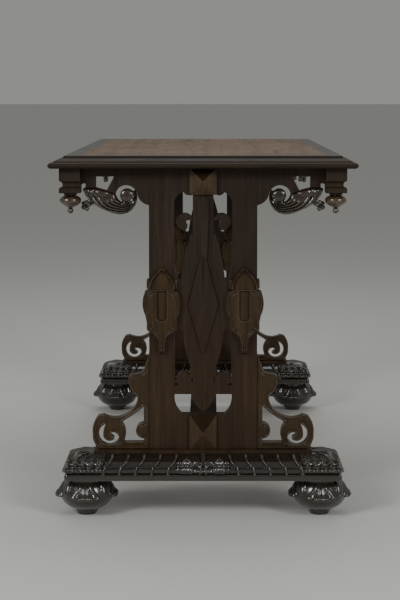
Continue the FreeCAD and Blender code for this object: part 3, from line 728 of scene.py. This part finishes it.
def corner_relief(from_corner, x, z, on_end):
    """The acanthus leaf that wraps each corner; it swells over the slope behind a curled lip."""
    sweep = CORNER_SWEEP * climb(z, 14, 54) + 2.0 * np.sin(z / 5.0)
    edge = np.abs(x) - (CORNER_EDGE - CORNER_EDGE_DRIFT * climb(z, 15, 47)) + 1.5 * np.sin(z / 2.6)
    cover = np.where(on_end, 1.0, climb(edge, 0, 2.5))
    scallops = 4.0 * ridge_row(from_corner, SCALLOP_PITCH, 4, 0.5) * hill(z, 20.5, 4.0)
    curls = 2.6 * ridge_row(from_corner, CURL_PITCH, 9, 0.45) * hill(z, 33, 4.0)
    midrib = 2.2 * rounded(from_corner, 4) * climb(z, 20, 28)
    blades = lobes_relief(from_corner + sweep, z) + np.interp(z, *CORNER_FULLNESS)
    return cover * climb(z, 13.5, 16) * (blades + scallops + curls + midrib)


def shell_relief(u, z):
    """Two fluted shells with a rim, one on each side of the stem."""
    gap = np.hypot((u - SHELL_AT) / 13, (z - 25) / 19)
    flutes = 1.4 * np.abs(np.sin(6 * np.arctan2(z - SHELL_FOOT, u - SHELL_AT)))
    return (6.0 * rounded(gap, 1) - flutes) * (gap < 1) + 2.4 * rounded(gap - 0.93, 0.13)


def frond_relief(u, z):
    """Fronds that spread from the foot of the stem."""
    gap = np.hypot(u / 27, (z - 17) / 31)
    return (2.0 * rounded(gap, 1) + 1.8 * np.abs(np.sin(5 * np.arctan2(z - 17, u + 4)))) * (gap < 1)


def palmette_relief(x, z):
    """The ornament in the middle of a long face: a split stem, fronds, shells, leaves and beads."""
    u = np.abs(x)
    stem = 6.5 * rounded(u - (2.0 + 4.5 * climb(z, 34, 20)), 2.2)
    leaf = 3.0 * rounded(np.hypot((u - SIDE_LEAF_AT) / 6, (z - 30) / 15), 1)
    height = np.maximum.reduce([stem, leaf, shell_relief(u, z), frond_relief(u, z)])
    for k in range(MIDDLE_BEADS):
        bead = np.hypot(u - BEAD_FIRST - BEAD_STEP * k, z - BEAD_HEIGHT)
        height = np.maximum(height, 5.0 * rounded(bead, 3.1))
    return height * climb(z, 15, 17) * climb(z, 50, 48)


def running_mean(values, reach):
    """Each value's mean with its neighbours within reach."""
    padded = np.pad(values, reach, mode="edge")
    return np.convolve(padded, np.ones(2 * reach + 1) / (2 * reach + 1), mode="valid")


def base_shell():
    """A base: band, torus, groove and slope, with ribs, corner leaves and middle ornaments raised on it.

    The relief stands out square to the profile. Its direction comes from a running mean, to be steady.
    """
    profile = even_steps(softened([(share * MEAN_RUN, z) for share, z in BASE_PROFILE], 2), BASE_STEP)
    inset, z = profile[:, 0] / MEAN_RUN, profile[:, 1]
    steady_slope = np.gradient(running_mean(inset, STEADY_REACH), z)[:, None]
    inset, z = inset[:, None], z[:, None]
    share_x, share_y, normal_x, normal_y = base_stations().T[:, None, :]
    half_x = BASE_X - END_RUN * inset - CORNER_RADIUS
    half_y = BASE_Y - FRONT_RUN * inset - CORNER_RADIUS
    x = share_x * half_x + CORNER_RADIUS * normal_x
    y = share_y * half_y + CORNER_RADIUS * normal_y
    z = z + 0 * x
    on_end = np.abs(normal_x) > np.abs(normal_y)
    on_face = normal_x == 0
    from_corner = np.where(on_end, half_y - np.abs(y), half_x - np.abs(x)) + CORNER_RADIUS
    height = np.where(on_face, np.maximum(rib_relief(x, z), palmette_relief(x, z)), 0)
    height = np.maximum(height, corner_relief(from_corner, x, z, on_end))
    slope = steady_slope * (END_RUN * normal_x**2 + FRONT_RUN * normal_y**2)
    out = height / np.hypot(1, slope)
    points = np.stack([x + normal_x * out, y + normal_y * out, z + slope * out + BASE_LOW[2]], 2)
    return points.reshape(-1, 3), ring_faces(len(profile), points.shape[1])


def make_bases():
    """The carved base under each trestle."""
    shell = base_shell()
    for end in ENDS:
        node = f"{end}_base"
        low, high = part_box(node)
        place = np.array([0, (low.y + high.y) / 2, 0])
        new_piece(f"carved_{node}", shell, place, "base", node, SMOOTHER_LIMIT)


# ---- carved boards of the trestles -------------------------------------------------------------

PANEL_HALF = depth_mm("near_fret_panel") / 2
BRACKET_HALF = depth_mm("near_scroll_bracket_right") / 2
VOLUTE_STEP, BRACKET_STEP, CARTOUCHE_STEP = 1.25, 1.5, 1.1

# Places below are in the table's own frame, on the right of the near trestle.
EYE_X, EYE_Z, EYE_RADIUS = 160.5, 677.8, 14.4
BAND_TURNS = [-20, 0, 50, 105, 170, 215]  # degrees round the eye, from straight out and downwards
BAND_OUTER = [100, 86, 49, 34, 22, 20]
BAND_INNER = [25, 24, 17.5, 13, 11, 10]
VEINS = 5.5
VEIN_STRENGTH = [-12, 12, 45, 200, 260], [0.5, 1, 1, 0.7, 0]
CHEEK_X, CHEEK_Z = 226, 686
BERRY_RADIUS, BERRY_OUT = 5.0, 4  # berries lie by turns on one side of the board and the other
BERRIES = [
    (247, 655), (240.5, 658.5), (252, 660), (245, 649.5),
    (252.5, 652), (245.5, 663), (236, 661), (232, 664),
]
DROP_X, DROP_Z, DROP_RADIUS = 205, 711.5, 5.0
STALK_Z, STALK_RADIUS = 717, 3.0

CARTOUCHE_X = 87
HOOD = [477, 488, 500, 509, 517.5, 528], [29, 27.8, 23.5, 17.8, 10, 0]
FLUTE_GAPS = 2.8, 6.2, 9.6
NECK_RINGS = 350.5, 356
TABLET_HALF, TABLET_LOW, TABLET_HIGH, TABLET_CUT = 10.6, 414, 478, 4.6
ARC_Z, ARC_RADIUS = 514, 9.0


def stand(name, shell, end, half_turned, finish, node):
    """Stand a shell drawn about a trestle's middle plane, turned half round or not."""
    points, faces = shell
    if half_turned:
        points = points * [-1, -1, 1]
    low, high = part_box(f"{end}_fret_panel")
    new_piece(name, (points, faces), [0, (low.y + high.y) / 2, 0], finish, node)


def stand_four(kind, shell, finish):
    """Stand a right-hand shell of the near trestle in its four places."""
    shells = {"right": shell, "left": mirrored(shell)}
    for side in SIDES:
        near, far = f"near_{kind}_{side}", f"far_{kind}_{OTHER_SIDE[side]}"
        stand(f"carved_{near}", shells[side], "near", False, finish, near)
        stand(f"carved_{far}", shells[side], "far", True, finish, far)


def volute_depth(x, z, edge):
    """Half the volute's thickness: a round-backed band veined along its sweep, and a domed eye."""
    out, down = x - EYE_X, EYE_Z - z
    radius = np.hypot(out, down)
    turn = np.degrees(np.arctan2(down, out))
    turn = np.where(turn < -60, turn + 360, turn)
    inner, outer = np.interp(turn, BAND_TURNS, BAND_INNER), np.interp(turn, BAND_TURNS, BAND_OUTER)
    stream = np.clip((radius - inner) / (outer - inner), 0, 1)
    veins = np.abs(np.sin(math.pi * VEINS * stream)) ** 0.6
    plain = climb(stream, 0.62, 0.42) * climb(turn, 30, 5)
    strength = np.interp(turn, *VEIN_STRENGTH) * (1 - plain)
    band = 6.5 + 8.0 * rounded(np.clip(edge / 9, 0, 1) - 1, 1) + 4.6 * strength * (veins - 0.6)
    cheek = 3.0 * rounded(np.hypot((x - CHEEK_X) / 26, (z - CHEEK_Z) / 11), 1)
    eye = 10.0 + 5.5 * rounded(radius, EYE_RADIUS)
    swelled = eye + (band + cheek - eye) * climb(radius, EYE_RADIUS - 2, EYE_RADIUS + 1.5)
    return np.minimum(swelled, 5.5 + 2.0 * edge + 4 * climb(edge, 0, 3))


def volute_shell():
    """A volute with its cluster of berries and the drop that hangs in the bracket's opening."""
    outlines = flat_outlines("near_volute_right", -1)
    board = carved_board(outlines, VOLUTE_STEP, volute_depth, volute_depth)
    berries = [ball((x, (-1) ** k * BERRY_OUT, z), BERRY_RADIUS) for k, (x, z) in enumerate(BERRIES)]
    drop = ball((DROP_X, 0, DROP_Z), DROP_RADIUS)
    stalk = ball((DROP_X, 0, STALK_Z), STALK_RADIUS)
    return join_shells([board, *berries, drop, stalk])


def scroll_depth(x, z, edge):
    """Half a scroll bracket's thickness: a chamfered edge with a groove run beside it."""
    return BRACKET_HALF - 1.4 * climb(edge, 1.6, 0) - 1.5 * hill(edge, 4.6, 1.1)


def scroll_bracket_shell():
    """A lower bracket."""
    outlines = flat_outlines("near_scroll_bracket_right", -1)
    return carved_board(outlines, BRACKET_STEP, scroll_depth, scroll_depth)


def hood_relief(u, z):
    """A raised arch over a cartouche's sunk head, with its ears cut back behind it."""
    within = np.interp(z, *HOOD) - u
    arch = 3.4 * hill(within, 2.4, 1.6) - 3.4 * climb(within, 4.4, 6.4) - 5.0 * climb(within, 0, -1.2)
    arc = 2.2 * hill(np.hypot(u, z - ARC_Z), ARC_RADIUS, 1.5) * (z > ARC_Z + 1)
    return arch * climb(z, 479, 482) + arc


def tablet_relief(u, z):
    """A sunk tablet with cut lower corners and a fine raised frame."""
    cut = TABLET_CUT * np.clip((419 - z) / 5, 0, 1)
    gap = np.maximum(u - (TABLET_HALF - cut), np.maximum(z - TABLET_HIGH, TABLET_LOW - z))
    return (0.8 * hill(gap, 1.6, 1.2) - 4.6 * climb(gap, 0, -1.2)) * (z < 484)


def cartouche_relief(x, z, edge):
    """How far a cartouche stands out of the panel."""
    u = np.abs(x - CARTOUCHE_X)
    body = 9.0 + 3.5 * np.clip(1 - (u / 36) ** 2, 0, 1)
    flutes = 1.5 * sum(hill(edge, gap, 0.9) for gap in FLUTE_GAPS) * (z < TABLET_HIGH)
    rings = 1.5 * sum(hill(z, level, 1.1) for level in NECK_RINGS) * (u < 12)
    relief = body - flutes - rings + hood_relief(u, z) + tablet_relief(u, z)
    return np.minimum(relief, 4 + 3.0 * edge + 4 * climb(edge, 0, 2.5))


def cartouche_front(x, z, edge):
    """How far a cartouche's carved side lies out from the trestle's middle plane."""
    return PANEL_HALF + cartouche_relief(x, z, edge)


def cartouche_back(x, z, edge):
    """The side that lies flat on the panel. It is below zero, being out past the middle plane too."""
    return np.full(len(x), -PANEL_HALF)


def cartouche_shell():
    """The pair of cartouches that stand on a panel's outer face."""
    loops = flat_outlines("near_outer_cartouches", 1)
    right = [loop for loop in loops if loop[:, 0].mean() > 0]
    one = carved_board(right, CARTOUCHE_STEP, cartouche_front, cartouche_back)
    return join_shells([one, mirrored(one)])


def make_boards():
    """The carved boards of both trestles."""
    stand_four("volute", volute_shell(), "carving")
    stand_four("scroll_bracket", scroll_bracket_shell(), "panel")
    pair = cartouche_shell()
    for end in ENDS:
        for face in ("outer", "inner"):
            node = f"{end}_{face}_cartouches"
            half_turned = (end == "far") == (face == "outer")
            stand(f"carved_{node}", pair, end, half_turned, "panel", node)


# ---- pendants ----------------------------------------------------------------------------------

PENDANT_PROFILE = [
    (8, 13), (15, 17), (21, 22), (23.2, 27), (22.6, 31.5), (19, 35.5), (14, 37.3), (10, 38), (9.5, 40),
    (9.5, 44),
]
TIP_NECK = (3.3, 12)
TIP_RADIUS = 6.4
PENDANT_COLUMNS = 72
NECK_BEADS, NECK_BEAD_RADIUS, NECK_RADIUS, NECK_HEIGHT = 14, 2.7, 11.5, 40.8


def pendant_shell():
    """A turnip-shaped drop on a small ball, under a ring of beads."""
    swing = np.radians(np.arange(8, 150, 8))
    tip = np.column_stack([TIP_RADIUS * np.sin(swing), TIP_RADIUS * (1 - np.cos(swing))])
    drop = turned(np.vstack([tip, softened([TIP_NECK, *PENDANT_PROFILE], 2)]), PENDANT_COLUMNS)
    beads = []
    for angle in np.arange(NECK_BEADS) / NECK_BEADS * 2 * math.pi:
        centre = (NECK_RADIUS * math.cos(angle), NECK_RADIUS * math.sin(angle), NECK_HEIGHT)
        beads.append(ball(centre, NECK_BEAD_RADIUS, rings=8))
    return join_shells([drop, *beads])


def make_pendants():
    """A pendant under each corner block, all in one piece, as in the CAD node."""
    points, faces = pendant_shell()
    foot = box_mm("pendant_finials")[0][2]
    shells = []
    for end in ENDS:
        for side in SIDES:
            low, high = box_mm(f"corner_block_{end}_{side}")
            place = [(low[0] + high[0]) / 2, (low[1] + high[1]) / 2, foot]
            shells.append((points + place, faces))
    node = "pendant_finials"
    new_piece("turned_pendants", join_shells(shells), [0, 0, 0], "pendants", node, SMOOTHER_LIMIT)


# ---- CAD pieces --------------------------------------------------------------------------------

WELD_REACH = 0.005 * MM
EASED_EDGE, EASED_STEPS, EASED_ANGLE = 0.9 * MM, 3, 32


def finish_piece(piece, material):
    """Give a CAD piece its finish, ease its edges and shade it."""
    piece.data.materials.clear()
    piece.data.materials.append(material)
    weld = piece.modifiers.new("weld", "WELD")
    weld.merge_threshold = WELD_REACH
    soften = piece.modifiers.new("soften", "BEVEL")
    soften.width = EASED_EDGE
    soften.segments = EASED_STEPS
    soften.limit_method = "ANGLE"
    soften.angle_limit = math.radians(EASED_ANGLE)
    soften.use_clamp_overlap = True
    shade = piece.modifiers.new("shade", "WEIGHTED_NORMAL")
    shade.keep_sharp = True
    for polygon in piece.data.polygons:
        polygon.use_smooth = True


def finish_for(node):
    """The name of a node's finish: its slot, or the slot's own finish for that way of the grain."""
    if SLOTS[node] in ("border", "moulding") and node.endswith(("near", "far")):
        return SLOTS[node] + "_across"
    if node.startswith("side_rail") or node == "stretcher":
        return "side_rails"
    if node.endswith("boss"):
        return "boss"
    return SLOTS[node]


def finish_cad():
    """Finish every CAD piece."""
    for node, piece in frame["nodes"].items():
        finish_piece(piece, MATERIALS[finish_for(node)])


# ---- the scene ---------------------------------------------------------------------------------

# Places and sizes here are in metres.
CAMERA_PLACE = (0.0148, -3.9107, 0.8988)
CAMERA_TILT = 3.22
CAMERA_LENS = 95.7
CAMERA_SHIFT = (-0.0169, -0.2)
KEY = dict(place=(-2.4, -3.2, 2.3), target=(0, -0.3, 0.4), size=1.1, power=70)
FILL = dict(place=(2.4, -3.2, 2.1), target=(0, -0.3, 0.35), size=1.1, power=52)
OVERHEAD = dict(place=(0, 0.9, 3.4), target=(0, 0.2, 0.7), size=2.2, power=30)
SURROUND_COLOUR, SURROUND_POWER = (0.80, 0.80, 0.78, 1), 0.36
FLOOR_COLOUR, FLOOR_ROUGHNESS = (0.62, 0.62, 0.59, 1), 0.75
FLOOR_HALF = 100


def make_camera():
    """A long lens in front of the near trestle, a little above the top and tipped slightly down."""
    data = bpy.data.cameras.new("camera")
    data.lens = CAMERA_LENS
    data.shift_x, data.shift_y = CAMERA_SHIFT
    camera = bpy.data.objects.new("camera", data)
    camera.location = CAMERA_PLACE
    camera.rotation_euler = (math.radians(90 - CAMERA_TILT), 0, 0)
    bpy.context.scene.collection.objects.link(camera)
    bpy.context.scene.camera = camera


def soft_light(name, place, target, size, power):
    """A square soft box aimed at a target."""
    data = bpy.data.lights.new(name, "AREA")
    data.size = size
    data.energy = power
    lamp = bpy.data.objects.new(name, data)
    lamp.location = place
    direction = np.array(target) - np.array(place)
    lamp.rotation_euler = Vector(direction).to_track_quat("-Z", "Y").to_euler()
    bpy.context.scene.collection.objects.link(lamp)


def make_lights():
    """Two soft boxes in front, one overhead and an even pale surround."""
    soft_light("key", **KEY)
    soft_light("fill", **FILL)
    soft_light("overhead", **OVERHEAD)
    world = bpy.data.worlds.new("surround")
    world.use_nodes = True
    background = world.node_tree.nodes["Background"]
    background.inputs["Color"].default_value = SURROUND_COLOUR
    background.inputs["Strength"].default_value = SURROUND_POWER
    bpy.context.scene.world = world


def make_floor():
    """A plain pale floor."""
    tree = Tree("pale_floor")
    tree.feed(tree.surface, {"Base Color": FLOOR_COLOUR, "Roughness": FLOOR_ROUGHNESS})
    corners = [(x * FLOOR_HALF, y * FLOOR_HALF, 0) for x, y in ((-1, -1), (1, -1), (1, 1), (-1, 1))]
    mesh = bpy.data.meshes.new("floor")
    mesh.from_pydata(corners, [], [(0, 1, 2, 3)])
    mesh.materials.append(tree.material)
    floor = bpy.data.objects.new("floor", mesh)
    bpy.context.scene.collection.objects.link(floor)


finish_cad()
make_feet()
make_bases()
make_boards()
make_pendants()
make_camera()
make_lights()
make_floor()
